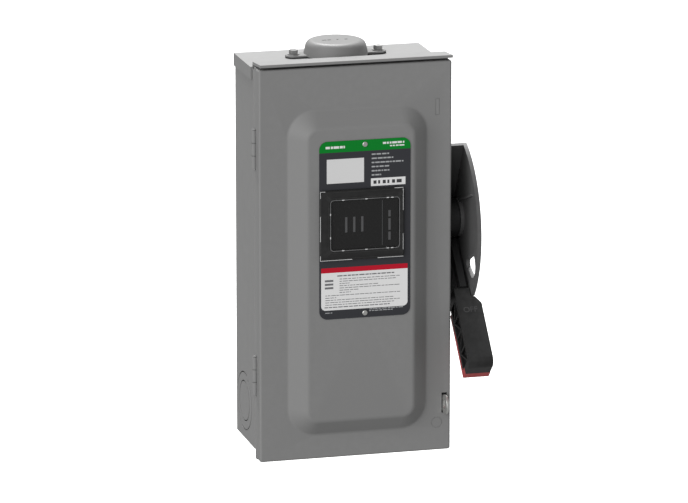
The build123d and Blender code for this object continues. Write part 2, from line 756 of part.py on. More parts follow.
with BuildPart() as handle_lever:
    with BuildSketch(facing_right(hub_start)):
        with Locations((axis_y, axis_z)):
            Circle(hub_r)
    extrude(amount=hub_end - hub_start)
    fillet(edges().filter_by(GeomType.CIRCLE), 1.2)
    with BuildSketch(handle_plane(arm_outer_x)):
        with BuildLine():
            Polyline(
                (0, arm_back), (grip_start - 0.5, arm_back), (grip_start - 0.5, core_back),
                (core_end, core_back), (core_end, core_front), (grip_start - 0.5, core_front),
                (grip_start - 0.5, arm_front), (0, arm_front), close=True,
            )
        make_face()
    extrude(amount=arm_t)
    with BuildSketch(facing_right(hub_start)):
        with Locations((axis_y, axis_z)):
            Circle(shaft_r)
    extrude(amount=hub_end - hub_start, mode=Mode.SUBTRACT)
save("handle_lever", handle_lever)

def grip_relief():
    """Cutter that keeps the top of the grip outside the sweep of the guard's rim."""
    lean = radians(off_angle)
    towards_front = Vector(0, -cos(lean), sin(lean))
    origin = Vector(0, axis_y, axis_z) + towards_front * (grip_front + 1.0)
    with BuildPart() as relief:
        with BuildSketch(Plane(origin=origin, x_dir=(1, 0, 0), z_dir=-towards_front)):
            with BuildLine():
                Polyline(
                    (grip_step_x, grip_start - 5.0), (grip_step_x, grip_step),
                    (grip_outer_x - 6.5, grip_step + 1.0), (grip_outer_x + 1.0, grip_shoulder + 1.0),
                    (grip_outer_x + 1.0, grip_start - 5.0), close=True,
                )
            make_face()
        extrude(amount=grip_front - grip_back + 2.0)
    return relief.part


with BuildPart() as handle_grip:
    with BuildSketch(handle_plane(grip_outer_x)):
        with Locations((grip_start, grip_back + red_t)):
            Rectangle(
                grip_tip - grip_start, grip_front - grip_back - red_t,
                align=(Align.MIN, Align.MIN),
            )
        with Locations((grip_end, grip_back + red_t)):
            Rectangle(
                grip_tip - grip_end, red_foot - red_t, align=(Align.MIN, Align.MIN),
                mode=Mode.SUBTRACT,
            )
    extrude(amount=grip_outer_x - grip_inner_x)
    fillet(edges().filter_by(Axis.X).sort_by(Axis.Y)[0], grip_bend)
    fillet(faces().sort_by(Axis.X)[-1].edges().sort_by(Axis.Y)[0], 1.2)
    add(grip_relief(), mode=Mode.SUBTRACT)
    with BuildSketch(handle_plane(arm_outer_x)):
        with Locations((grip_start, core_back)):
            Rectangle(core_end - grip_start + 0.3, core_front - core_back, align=(Align.MIN, Align.MIN))
    extrude(amount=arm_t, mode=Mode.SUBTRACT)
    with BuildSketch(handle_plane(grip_inner_x + 2.5)):
        for step in range(4):
            cell_middle = (grip_start + 21 + grip_cell * step, (grip_front + grip_back + red_t) / 2)
            with Locations(cell_middle):
                Rectangle(grip_cell - 2.4, 20.0)
                Rectangle(2.2, 32.0, rotation=(-1) ** step * 42, mode=Mode.SUBTRACT)
    extrude(amount=2.5, mode=Mode.SUBTRACT)
save("handle_grip", handle_grip)

with BuildPart() as handle_grip_insert:
    with BuildSketch(handle_plane(grip_outer_x)):
        with Locations((red_start, grip_back)):
            Rectangle(grip_tip - red_start, red_t, align=(Align.MIN, Align.MIN))
        with Locations((grip_end, grip_back)):
            Rectangle(grip_tip - grip_end, red_foot, align=(Align.MIN, Align.MIN))
    extrude(amount=grip_outer_x - grip_inner_x)
    fillet(edges().filter_by(Axis.X).sort_by(Axis.Z)[0], 4.0)
save("handle_grip_insert", handle_grip_insert)

crank_x = shaft_start + 4.0
with BuildPart() as interlock_cam:
    with BuildSketch(facing_right(crank_x)):
        with Locations((axis_y, axis_z)):
            Circle(15.0)
            with Locations((-14.0, -15.0)):
                SlotOverall(34.0, 10.0, rotation=50)
            Circle(shaft_r, mode=Mode.SUBTRACT)
    extrude(amount=4.0)
save("interlock_cam", interlock_cam)

# ---------------------------------------------------------------- switch
with BuildPart() as drive_spring:
    with BuildLine():
        coil = Helix(
            pitch=spring_pitch, height=spring_turns * spring_pitch, radius=spring_r,
            center=(crank_x - spring_wire / 2 - spring_turns * spring_pitch, axis_y, axis_z),
            direction=(1, 0, 0),
        )
    with BuildSketch(Plane(origin=coil @ 0, z_dir=coil % 0)):
        Circle(spring_wire / 2)
    sweep(path=coil)
save("drive_spring", drive_spring)

with BuildPart() as switch_base:
    with BuildSketch(facing_front(base_back)):
        with Locations(((base_left + base_right) / 2, (base_bottom + base_top) / 2)):
            RectangleRounded(base_right - base_left, base_top - base_bottom, 6.0)
    extrude(amount=base_back - base_front)
    with BuildSketch(facing_front(base_front)):
        for side in (-1, 1):
            block_z = axis_z + side * (strap_gap + 20.0)
            with Locations(*[(centre, block_z) for centre in pole_centres]):
                Rectangle(2 * post_half, 38.0)
    extrude(amount=base_front - post_front)
    with BuildSketch(facing_front(base_front)):
        for side in (-1, 1):
            barrier_z = axis_z + side * (strap_gap + 22.0)
            for barrier_x in (pole_x - pole_pitch / 2, pole_x + pole_pitch / 2):
                with Locations((barrier_x, barrier_z)):
                    Rectangle(3.0, 44.0)
    extrude(amount=52.0)
    with BuildSketch(facing_front(base_back)):
        with Locations((base_mid, axis_z)), GridLocations(136.0, 172.0, 2, 2):
            Circle(2.5 + screw_gap)
    extrude(amount=base_back - base_front, mode=Mode.SUBTRACT)
save("switch_base", switch_base)

with BuildPart() as base_spacers:
    with BuildSketch(facing_front(-sheet)):
        with Locations((base_mid, axis_z)), GridLocations(136.0, 172.0, 2, 2):
            Circle(7.0)
            Circle(2.5 + screw_gap, mode=Mode.SUBTRACT)
    extrude(amount=-sheet - base_back)
save("base_spacers", base_spacers)

with BuildPart() as base_screws:
    with BuildSketch(facing_front(-sheet)):
        with Locations((base_mid, axis_z)), GridLocations(136.0, 172.0, 2, 2):
            Circle(2.5)
    extrude(amount=-sheet - base_front)
    with BuildSketch(facing_front(base_front)):
        with Locations((base_mid, axis_z)), GridLocations(136.0, 172.0, 2, 2):
            Circle(4.6)
    extrude(amount=3.0)
    with BuildSketch(facing_front(base_front - 1.6)):
        with Locations((base_mid, axis_z)), GridLocations(136.0, 172.0, 2, 2):
            Rectangle(10, 1.2)
            Rectangle(1.2, 10)
    extrude(amount=1.6, mode=Mode.SUBTRACT)
save("base_screws", base_screws)

bearing_places = (pole_centres[0] - post_half - 6.0, pole_centres[2] + post_half + 6.0)
with BuildPart() as rotor_bearings:
    for place in bearing_places:
        with BuildSketch(facing_right(place - bearing_t / 2)):
            with Locations((base_front, axis_z)):
                Rectangle(base_front - axis_y, 24.0, align=(Align.MAX, Align.CENTER))
            with Locations((axis_y, axis_z)):
                Circle(12.0)
                Circle(journal_r + shaft_fit, mode=Mode.SUBTRACT)
        extrude(amount=bearing_t)
save("rotor_bearings", rotor_bearings)

bar_start = bearing_places[0] + bearing_t / 2 + 0.4
bar_end = bearing_places[1] - bearing_t / 2 - 0.4
with BuildPart() as rotor_bar:
    with BuildSketch(facing_right(bar_start)):
        with Locations((axis_y, axis_z)):
            Circle(rotor_r)
    extrude(amount=bar_end - bar_start)
    with BuildSketch(facing_right(bar_start - bearing_t - 2.0)):
        with Locations((axis_y, axis_z)):
            Circle(journal_r)
    extrude(amount=bar_end - bar_start + 2 * bearing_t + 4.0)
    with BuildSketch(facing_right(bearing_places[1] + bearing_t / 2 + 0.5)):
        with Locations((axis_y, axis_z)):
            Circle(spring_r + spring_wire)
            with PolarLocations(spring_r, 2):
                Circle(1.2, mode=Mode.SUBTRACT)
    extrude(amount=3.0)
    for centre in pole_centres:
        with BuildSketch(facing_right(centre - blade_t / 2)):
            with Locations((axis_y, axis_z)):
                Rectangle(2 * blade_half, 4 * rotor_r, rotation=rotor_off_angle)
        extrude(amount=blade_t, mode=Mode.SUBTRACT)
save("rotor_bar", rotor_bar)

with BuildPart() as switch_blades:
    for centre in pole_centres:
        with BuildSketch(facing_right(centre - blade_t / 2)):
            with Locations((axis_y, axis_z)):
                Rectangle(2 * blade_half, 2 * blade_reach, rotation=rotor_off_angle)
        extrude(amount=blade_t)
save("switch_blades", switch_blades)

sides = {"line": 1, "load": -1}
for end, side in sides.items():
    with BuildPart() as jaws:
        finger_mid = axis_z + side * (strap_gap - 6.0)
        strap_mid = axis_z + side * (strap_gap + 20.0)
        for centre in pole_centres:
            with BuildSketch(facing_front(post_front)):
                with Locations((centre, strap_mid)):
                    Rectangle(16.0, 40.0)
            extrude(amount=strap_t)
            for flank in (-1, 1):
                finger_x = centre + flank * (blade_t / 2 + jaw_gap + jaw_t / 2) - jaw_t / 2
                with BuildSketch(facing_right(finger_x)):
                    with Locations((post_front, finger_mid)):
                        Rectangle(20.0, 14.0, align=(Align.MAX, Align.CENTER))
                extrude(amount=jaw_t)
    save(f"{end}_jaws", jaws)

    lug_mid = axis_z + side * (strap_gap + 28.0)
    lug_back = post_front - strap_t
    with BuildPart() as lugs:
        with BuildSketch(facing_front(lug_back)):
            with Locations(*[(centre, lug_mid) for centre in pole_centres]):
                Rectangle(lug_width, lug_height)
        extrude(amount=lug_depth)
        wire_y = lug_back - lug_depth / 2 + 0.5
        with BuildSketch(Plane.XY.offset(lug_mid - lug_height / 2)):
            with Locations(*[(centre, wire_y) for centre in pole_centres]):
                Circle(wire_r)
        extrude(amount=lug_height, mode=Mode.SUBTRACT)
        with BuildSketch(facing_front(lug_back - lug_depth / 2)):
            with Locations(*[(centre, lug_mid) for centre in pole_centres]):
                Circle(lug_screw_r)
        extrude(amount=lug_depth, mode=Mode.SUBTRACT)
    save(f"{end}_lugs", lugs)

    with BuildPart() as lug_screws:
        screw_in = lug_back - lug_depth + 1.5
        with BuildSketch(facing_front(screw_in)):
            with Locations(*[(centre, lug_mid) for centre in pole_centres]):
                Circle(lug_screw_r)
        extrude(amount=8.0)
        with BuildSketch(facing_front(screw_in - 4.0)):
            with Locations(*[(centre, lug_mid) for centre in pole_centres]):
                RegularPolygon(2.3, 6)
        extrude(amount=4.0, mode=Mode.SUBTRACT)
    save(f"{end}_lug_screws", lug_screws)

shield_front = -84.0
with BuildPart() as line_shield:
    shield_left = pole_centres[0] - post_half - 3.0
    shield_right = pole_centres[2] + post_half + 3.0
    shield_z = axis_z + strap_gap + 12.0
    with BuildSketch(Plane.XY.offset(shield_z)):
        with BuildLine():
            Polyline(
                (shield_left, base_front), (shield_left, shield_front),
                (shield_right, shield_front), (shield_right, base_front),
            )
            offset(amount=1.6, side=Side.RIGHT, kind=Kind.INTERSECTION)
        make_face()
    extrude(amount=24.0)
save("line_shield", line_shield)

with BuildPart() as ground_bar:
    with BuildSketch(facing_front(-sheet)):
        with Locations((-45.0, -130.0)):
            Rectangle(70.0, 12.0)
    extrude(amount=13.0)
    with BuildSketch(Plane.XY.offset(-136.0)):
        with Locations((-45.0, -sheet - 6.0)), GridLocations(13.0, 1, 5, 1):
            Circle(2.8)
    extrude(amount=12.0, mode=Mode.SUBTRACT)
    with BuildSketch(facing_front(-sheet - 6.0)):
        with Locations((-45.0, -130.0)), GridLocations(13.0, 1, 5, 1):
            Circle(2.2)
    extrude(amount=7.0, mode=Mode.SUBTRACT)
save("ground_bar", ground_bar)

with BuildPart() as ground_screws:
    with BuildSketch(facing_front(-sheet - 10.5)):
        with Locations((-45.0, -130.0)), GridLocations(13.0, 1, 5, 1):
            Circle(2.2)
    extrude(amount=2.5)
    with BuildSketch(facing_front(-sheet - 13.0)):
        with Locations((-45.0, -130.0)), GridLocations(13.0, 1, 5, 1):
            Circle(4.2)
            Rectangle(9.0, 1.1, mode=Mode.SUBTRACT)
    extrude(amount=2.6)
save("ground_screws", ground_screws)
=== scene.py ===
import bpy
import bmesh
import json
from math import cos, radians, sin
from mathutils import Matrix, Vector
from random import Random


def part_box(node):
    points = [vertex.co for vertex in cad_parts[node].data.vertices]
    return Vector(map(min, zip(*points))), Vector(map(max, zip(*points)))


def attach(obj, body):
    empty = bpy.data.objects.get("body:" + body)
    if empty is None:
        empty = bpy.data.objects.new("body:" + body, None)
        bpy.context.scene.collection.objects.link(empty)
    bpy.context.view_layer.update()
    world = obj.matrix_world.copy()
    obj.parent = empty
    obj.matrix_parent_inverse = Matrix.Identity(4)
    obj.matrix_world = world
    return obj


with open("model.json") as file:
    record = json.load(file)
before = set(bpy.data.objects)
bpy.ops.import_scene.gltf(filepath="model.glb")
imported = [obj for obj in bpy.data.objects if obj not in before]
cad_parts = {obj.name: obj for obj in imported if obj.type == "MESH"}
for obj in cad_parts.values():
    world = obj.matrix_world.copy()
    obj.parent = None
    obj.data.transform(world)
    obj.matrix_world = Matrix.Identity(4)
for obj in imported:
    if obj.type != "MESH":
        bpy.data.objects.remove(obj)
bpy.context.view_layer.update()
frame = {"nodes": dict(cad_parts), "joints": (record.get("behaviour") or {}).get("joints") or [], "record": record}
nodes, record = frame["nodes"], frame["record"]
joints = {j["name"]: j for j in frame["joints"]}
MM = 0.001

# Numbers that every finish shares.
GLASS_IOR = 1.45
COAT_ROUGHNESS = 0.12
SOIL_SCALE, SOIL_DETAIL, SOIL_ROUGHNESS = 26.0, 8.0, 0.7
SOIL_FROM, SOIL_TO, SOIL_SHADE = 0.62, 0.80, 0.72
EDGE_FROM, EDGE_TO = 0.53, 0.62          # pointiness where wear starts and is full
SCUFF_SCALE, SCUFF_DETAIL = 140.0, 4.0
GLOSS_SCALE, GLOSS_DETAIL = 45.0, 3.0
DRIFT_DETAIL, GRAIN_DETAIL = 5.0, 2.0


# ---------------------------------------------------------------- materials
def finish(name, color, roughness, metallic=0.0, mottle=0.06, mottle_scale=9.0, grain=1100.0,
           grain_depth=0.00004, grain_strength=0.25, stretch=(1, 1, 1), rough_spread=0.10,
           wear=None, wear_amount=0.5, specular=0.5, coat=0.0, transmission=0.0, dirt=0.0):
    """A procedural finish: slow colour drift, fine grain in the bump, uneven gloss, worn edges."""
    mat = bpy.data.materials.new(name)
    mat.use_nodes = True
    tree = mat.node_tree
    add, link = tree.nodes.new, tree.links.new
    shader = tree.nodes["Principled BSDF"]
    shader.inputs["Metallic"].default_value = metallic
    shader.inputs["Specular IOR Level"].default_value = specular
    shader.inputs["Coat Weight"].default_value = coat
    shader.inputs["Coat Roughness"].default_value = COAT_ROUGHNESS
    shader.inputs["Transmission Weight"].default_value = transmission
    shader.inputs["IOR"].default_value = GLASS_IOR
    place = add("ShaderNodeTexCoord").outputs["Object"]

    def noise(scale, detail, vector=place):
        node = add("ShaderNodeTexNoise")
        node.inputs["Scale"].default_value = scale
        node.inputs["Detail"].default_value = detail
        link(vector, node.inputs["Vector"])
        return node

    def remap(value, **ends):
        """Map a value to another range; the ends are named as the node names them."""
        node = add("ShaderNodeMapRange")
        for end, number in ends.items():
            node.inputs[end.replace("_", " ")].default_value = number
        link(value, node.inputs["Value"])
        return node.outputs["Result"]

    def tinted(under, over, factor):
        """Lay a plain colour over the colour so far, by the factor."""
        node = add("ShaderNodeMix")
        node.data_type = "RGBA"
        node.inputs["B"].default_value = (*over, 1)
        link(factor, node.inputs["Factor"])
        link(under, node.inputs["A"])
        return node.outputs["Result"]

    drift = noise(mottle_scale, DRIFT_DETAIL)
    tint = add("ShaderNodeMix")
    tint.data_type = "RGBA"
    tint.inputs["A"].default_value = (*[c * (1 - mottle) for c in color], 1)
    tint.inputs["B"].default_value = (*[min(1, c * (1 + mottle)) for c in color], 1)
    link(drift.outputs["Fac"], tint.inputs["Factor"])
    colour = tint.outputs["Result"]

    if dirt:
        soil = noise(SOIL_SCALE, SOIL_DETAIL)
        soil.inputs["Roughness"].default_value = SOIL_ROUGHNESS
        spots = remap(soil.outputs["Fac"], From_Min=SOIL_FROM, From_Max=SOIL_TO, To_Max=dirt)
        colour = tinted(colour, [c * SOIL_SHADE for c in color], spots)

    if wear:
        edge = add("ShaderNodeNewGeometry").outputs["Pointiness"]
        worn = remap(edge, From_Min=EDGE_FROM, From_Max=EDGE_TO, To_Max=wear_amount)
        scuff = noise(SCUFF_SCALE, SCUFF_DETAIL)
        broken = add("ShaderNodeMath")
        broken.operation = "MULTIPLY"
        link(worn, broken.inputs[0])
        link(scuff.outputs["Fac"], broken.inputs[1])
        colour = tinted(colour, wear, broken.outputs["Value"])
    link(colour, shader.inputs["Base Color"])

    gloss = noise(GLOSS_SCALE, GLOSS_DETAIL)
    uneven = remap(gloss.outputs["Fac"], To_Min=max(0.02, roughness - rough_spread),
                   To_Max=min(1.0, roughness + rough_spread))
    link(uneven, shader.inputs["Roughness"])

    spread = add("ShaderNodeMapping")
    spread.inputs["Scale"].default_value = stretch
    link(place, spread.inputs["Vector"])
    fine = noise(grain, GRAIN_DETAIL, spread.outputs["Vector"])
    bump = add("ShaderNodeBump")
    bump.inputs["Strength"].default_value = grain_strength
    bump.inputs["Distance"].default_value = grain_depth
    link(fine.outputs["Fac"], bump.inputs["Height"])
    link(bump.outputs["Normal"], shader.inputs["Normal"])
    return mat


finishes = {
    "enclosure_paint": finish(
        "grey_paint", (0.232, 0.232, 0.231), 0.52, mottle=0.018, grain=700, grain_depth=0.00006,
        wear=(0.30, 0.30, 0.30), wear_amount=0.35, specular=0.3, dirt=0.10),
    "cap_paint": finish(
        "cap_paint", (0.188, 0.188, 0.187), 0.48, mottle=0.03, grain=480, grain_depth=0.00010,
        wear=(0.30, 0.30, 0.30), wear_amount=0.4, specular=0.3),
    "label_print": finish(
        "charcoal_print", (0.036, 0.037, 0.043), 0.42, mottle=0.05, grain=1600, specular=0.35),
    "black_moulding": finish(
        "black_moulding", (0.007, 0.007, 0.0072), 0.46, mottle=0.14, mottle_scale=30, grain=1500,
        grain_depth=0.00008, grain_strength=0.4, wear=(0.09, 0.09, 0.09), wear_amount=0.6),
    "guard_black": finish(
        "guard_black", (0.095, 0.095, 0.096), 0.50, mottle=0.10, mottle_scale=18, grain=650,
        grain_depth=0.0001, grain_strength=0.35, wear=(0.16, 0.16, 0.16), wear_amount=0.6),
    "red_moulding": finish(
        "red_moulding", (0.38, 0.018, 0.024), 0.38, mottle=0.10, mottle_scale=25, grain=1300,
        grain_strength=0.3, wear=(0.62, 0.16, 0.15), wear_amount=0.5),
    # The window is clear glass; its dark base colour is painted shade for the dark inside of the box behind it.
    "window_pane": finish(
        "window_painted_dark", (0.024, 0.024, 0.024), 0.20, mottle=0.10, grain=300, grain_strength=0.04,
        rough_spread=0.05, transmission=0.35, specular=0.30),
    # Besides the real gasket, this dark rubber dresses the pad behind the staple's slot: a dark part put there as
    # painted shade for the slot's recess.
    "gasket_rubber": finish(
        "gasket_rubber", (0.030, 0.030, 0.031), 0.80, mottle=0.20, mottle_scale=60, grain=900,
        grain_strength=0.6, specular=0.25),
    "zinc_steel": finish(
        "zinc_steel", (0.66, 0.66, 0.64), 0.34, metallic=0.9, mottle=0.08, mottle_scale=60,
        grain=260, grain_strength=0.25, stretch=(1, 1, 9), rough_spread=0.12,
        wear=(0.82, 0.82, 0.80), wear_amount=0.6),
    "moulded_base": finish(
        "moulded_base", (0.075, 0.068, 0.062), 0.55, mottle=0.16, mottle_scale=40, grain=800,
        grain_strength=0.5, wear=(0.16, 0.15, 0.14), wear_amount=0.5),
    "copper_parts": finish(
        "copper_parts", (0.72, 0.40, 0.24), 0.33, metallic=1.0, mottle=0.14, mottle_scale=70,
        grain=300, grain_strength=0.25, stretch=(8, 1, 1), wear=(0.85, 0.60, 0.42)),
    "lug_aluminium": finish(
        "lug_aluminium", (0.74, 0.75, 0.76), 0.36, metallic=1.0, mottle=0.06, mottle_scale=80,
        grain=350, grain_strength=0.3, stretch=(1, 1, 0.12), rough_spread=0.12),
    "shield_plastic": finish(
        "shield_plastic", (0.66, 0.69, 0.70), 0.22, mottle=0.05, grain=200, grain_strength=0.1,
        transmission=0.5),
}
lever_black = finish(
    "lever_black", (0.016, 0.016, 0.0165), 0.42, mottle=0.12, mottle_scale=24, grain=800,
    grain_depth=0.00008, grain_strength=0.35, wear=(0.10, 0.10, 0.10), wear_amount=0.6)
dull_zinc = finish(
    "dull_zinc", (0.20, 0.20, 0.20), 0.42, metallic=0.7, mottle=0.16, mottle_scale=90, grain=420,
    grain_strength=0.4, rough_spread=0.12, wear=(0.62, 0.62, 0.61), wear_amount=0.7)
own_finish = {"handle_lever": lever_black, "hub_cap_screws": dull_zinc}
print_white = finish(
    "print_white", (0.82, 0.82, 0.82), 0.45, mottle=0.02, grain=1500, specular=0.2)
print_grey = finish(
    "print_grey", (0.73, 0.73, 0.73), 0.45, mottle=0.03, grain=1500, specular=0.2)
print_green = finish(
    "print_green", (0.001, 0.215, 0.022), 0.50, mottle=0.04, grain=1500, specular=0.2)
print_red = finish(
    "print_red", (0.52, 0.008, 0.026), 0.50, mottle=0.04, grain=1500, specular=0.2)
print_ink = finish(
    "print_ink", (0.17, 0.17, 0.18), 0.50, mottle=0.12, mottle_scale=90, grain=1500)
strip_ink = finish(
    "strip_ink", (0.045, 0.045, 0.048), 0.50, mottle=0.12, mottle_scale=90, grain=1500)
print_pale = finish(
    "print_pale", (0.42, 0.43, 0.44), 0.50, mottle=0.12, mottle_scale=90, grain=1500)
print_faint = finish(
    "print_faint", (0.085, 0.085, 0.088), 0.50, mottle=0.15, mottle_scale=90)
# Painted highlight: light grey for the glints that the black bezel's edges and catches catch from the light.
painted_highlight = finish(
    "painted_highlight", (0.72, 0.73, 0.74), 0.25, mottle=0.40, mottle_scale=55, grain=600,
    rough_spread=0.12, coat=0.3)
# Painted highlight, softer: mid grey for the light caught on the rim round the window.
painted_soft_highlight = finish(
    "painted_soft_highlight", (0.24, 0.24, 0.245), 0.28, mottle=0.45, mottle_scale=60, grain=600,
    rough_spread=0.12, coat=0.3)
cap_marks = finish(
    "cap_marks", (0.085, 0.085, 0.085), 0.50, mottle=0.15, mottle_scale=80, grain=480)
raised_mark = finish(
    "raised_mark", (0.060, 0.060, 0.061), 0.40, mottle=0.10, mottle_scale=60)

slot_of = {part["node"]: part["material_slot"] for part in record["subparts"]}
for name, node in nodes.items():
    for entry in node.material_slots:
        entry.material = own_finish.get(name, finishes[slot_of[name]])


# ---------------------------------------------------------------- piece builders
def piece(name, bm, material, body):
    """Turn a bmesh in the shared frame into an object that rides on a body."""
    bmesh.ops.recalc_face_normals(bm, faces=bm.faces)
    mesh = bpy.data.meshes.new(name)
    bm.to_mesh(mesh)
    bm.free()
    mesh.materials.append(material)
    obj = bpy.data.objects.new(name, mesh)
    bpy.context.scene.collection.objects.link(obj)
    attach(obj, body)
    return obj


def rounded(x0, x1, z0, z1, radii, steps=7):
    """Outline of a rectangle in millimetres, radii from lower left, anticlockwise."""
    corners = [(x0, z0, 180), (x1, z0, 270), (x1, z1, 0), (x0, z1, 90)]
    outline = []
    for (x, z, start), r in zip(corners, radii):
        cx = x + r if x == x0 else x - r
        cz = z + r if z == z0 else z - r
        for k in range(steps + 1):
            a = radians(start + 90 * k / steps)
            outline.append((cx + r * cos(a), cz + r * sin(a)))
    return outline


def slab(bm, outline, back, thick):
    """Flat print or plate facing -Y: outline in x and z, all in millimetres."""
    rear = [bm.verts.new((x * MM, back * MM, z * MM)) for x, z in outline]
    face = [bm.verts.new((x * MM, (back - thick) * MM, z * MM)) for x, z in outline]
    bm.faces.new(face)
    for i in range(len(outline)):
        j = (i + 1) % len(outline)
        bm.faces.new((rear[i], rear[j], face[j], face[i]))


def block(bm, x0, x1, z0, z1, back, thick):
    """Rectangular print or strip facing -Y."""
    slab(bm, [(x0, z0), (x1, z0), (x1, z1), (x0, z1)], back, thick)


def ring(bm, outer, inner, back, thick):
    """Raised frame between two outlines with the same number of points."""
    rows = [[bm.verts.new((x * MM, y * MM, z * MM)) for x, z in line]
            for line, y in ((outer, back), (outer, back - thick), (inner, back - thick), (inner, back))]
    for a, b in zip(rows, rows[1:]):
        for i in range(len(a)):
            j = (i + 1) % len(a)
            bm.faces.new((a[i], a[j], b[j], b[i]))


DASH_LENGTH, DASH_GAP, DASH_LEFT = (1.8, 6.0), (0.6, 1.1), 1.2


def words(bm, x0, x1, z, height, back, thick, rng, fill=1.0):
    """A line of plain dashes, in place of a line of small print."""
    x = x0
    end = x0 + (x1 - x0) * fill
    while x < end - DASH_LEFT:
        length = min(rng.uniform(*DASH_LENGTH), end - x)
        block(bm, x, x + length, z - height / 2, z + height / 2, back, thick)
        x += length + rng.uniform(*DASH_GAP)


# ---------------------------------------------------------------- label print
# All in millimetres. x counts from the plate's left edge, "down" from its top, "up" from its foot;
# panel_right and red_right count inwards from its right edge.
low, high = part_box("label_plate")
face = low.y / MM
lx0, lx1, lz0, lz1 = low.x / MM, high.x / MM, low.z / MM, high.z / MM
corner = 9.0                 # round of the plate's corners
square = 0.01                # a corner that is left sharp
ink = 0.06                   # thickness of the print
band_deep = 12.4
blank_x, blank_down = (8.3, 49.9), (46.7, 19.8)
strip_x, strip_down = (57.7, 96.4), (51.9, 43.4)
strip_bar_x, strip_bar_pitch, strip_bar_down = 60.5, 5.2, (49.6, 45.8)
strip_bar_wide = (3.4, 2.2, 3.4, 2.2, 3.4, 5.6)
lines_x, lines_down, lines_pitch, lines_tall = (58.5, 94.0), 16.6, 4.6, 1.5
lines_fill = (0.55, 0.68, 1.0, 0.55, 0.56, 0.30)
foot_lines = (                # x from, x to, up, height
    (6.5, 15.0, 7.2, 0.8), (56.0, 94.0, 9.0, 0.9), (56.0, 84.0, 7.0, 0.9))
band_lines = (                # x from, x to, down, height
    (7.0, 28.5, 6.8, 2.6), (71.0, 95.0, 4.8, 2.2), (79.0, 95.0, 8.2, 1.4))
panel_left, panel_right, red_right, panel_up, red_up = 1.9, 2.9, 3.0, (10.1, 52.0), 57.5
panel_corner = 5
heading = (20.0, 84.0, 48.2, 1.3)
closing_line = (5.5, 80.0, 13.4, 1.0)
text_tall = 0.7
upper_x, upper_up, upper_pitch = (22.5, 93.0), 44.6, 2.5
upper_fill = (0.96, 0.92, 0.16, 0.62, 0.97, 0.30, 0.18)
lower_x, lower_up, lower_pitch = (6.5, 93.5), 26.6, 2.6
lower_fill = (0.98, 0.14, 0.88, 0.98, 0.90)
sign_x, sign_up, sign_tall, sign_pitch, sign_bars = (6.0, 15.5), 34.0, 2.2, 4.0, 3
rng = Random(5)


def down_line(bm, x0, x1, down, height, back, fill=1.0):
    words(bm, lx0 + x0, lx0 + x1, lz1 - down, height, back, ink, rng, fill)


def up_line(bm, x0, x1, up, height, back, fill=1.0):
    words(bm, lx0 + x0, lx0 + x1, lz0 + up, height, back, ink, rng, fill)


bm = bmesh.new()
slab(bm, rounded(lx0, lx1, lz1 - band_deep, lz1, (square, square, corner, corner)), face, ink)
piece("label_green_band", bm, print_green, "door")

bm = bmesh.new()
block(bm, lx0 + blank_x[0], lx0 + blank_x[1], lz1 - blank_down[0], lz1 - blank_down[1], face, ink)
piece("label_blank_field", bm, print_grey, "door")

bm = bmesh.new()
block(bm, lx0 + strip_x[0], lx0 + strip_x[1], lz1 - strip_down[0], lz1 - strip_down[1], face, ink)
piece("label_white_strip", bm, print_white, "door")

bm = bmesh.new()
for k, wide in enumerate(strip_bar_wide):
    x = lx0 + strip_bar_x + strip_bar_pitch * k
    block(bm, x, x + wide, lz1 - strip_bar_down[0], lz1 - strip_bar_down[1], face - ink, ink)
piece("label_strip_bars", bm, strip_ink, "door")

bm = bmesh.new()
for row, fill in enumerate(lines_fill):
    down_line(bm, *lines_x, lines_down + lines_pitch * row, lines_tall, face, fill)
for line in foot_lines:
    up_line(bm, *line, face)
piece("label_small_lines", bm, print_pale, "door")

bm = bmesh.new()
for line in band_lines:
    down_line(bm, *line, face - ink)
piece("label_band_dashes", bm, print_white, "door")

bm = bmesh.new()
block(bm, lx0 + panel_left, lx1 - red_right, lz0 + panel_up[1], lz0 + red_up, face, ink)
piece("label_red_band", bm, print_red, "door")

bm = bmesh.new()
slab(bm, rounded(lx0 + panel_left, lx1 - panel_right, lz0 + panel_up[0], lz0 + panel_up[1],
                 (panel_corner, panel_corner, square, square)), face, ink)
piece("label_white_panel", bm, print_white, "door")

bm = bmesh.new()
up_line(bm, *heading, face - ink)
for row, fill in enumerate(upper_fill):
    up_line(bm, *upper_x, upper_up - upper_pitch * row, text_tall, face - ink, fill)
for row, fill in enumerate(lower_fill):
    up_line(bm, *lower_x, lower_up - lower_pitch * row, text_tall, face - ink, fill)
up_line(bm, *closing_line, face - ink)
for step in range(sign_bars):
    z = lz0 + sign_up + sign_pitch * step
    block(bm, lx0 + sign_x[0], lx0 + sign_x[1], z, z + sign_tall, face - ink, ink)
piece("label_panel_lines", bm, print_ink, "door")

# ---------------------------------------------------------------- window details
# In millimetres, from the edges of the bezel (bx, bz) and of the clear window in it (wx, wz).
low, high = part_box("window_bezel")
front = low.y / MM
bx0, bx1, bz0, bz1 = low.x / MM, high.x / MM, low.z / MM, high.z / MM
pane_low, pane_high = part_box("window_pane")
pane_face = pane_low.y / MM
pane_hidden = 2.0            # of the pane, behind each side of the bezel
wx0, wx1 = pane_low.x / MM + pane_hidden, pane_high.x / MM - pane_hidden
wz0, wz1 = pane_low.z / MM + pane_hidden, pane_high.z / MM - pane_hidden
outer_box, inner_box = (bx0, bx1, bz0, bz1), (wx0, wx1, wz0, wz1)


def outline_at(inset, radius, box):
    """Rounded outline inside a box by the inset, or outside it where that is negative."""
    x0, x1, z0, z1 = box
    return rounded(x0 + inset, x1 - inset, z0 + inset, z1 - inset, (radius,) * 4)


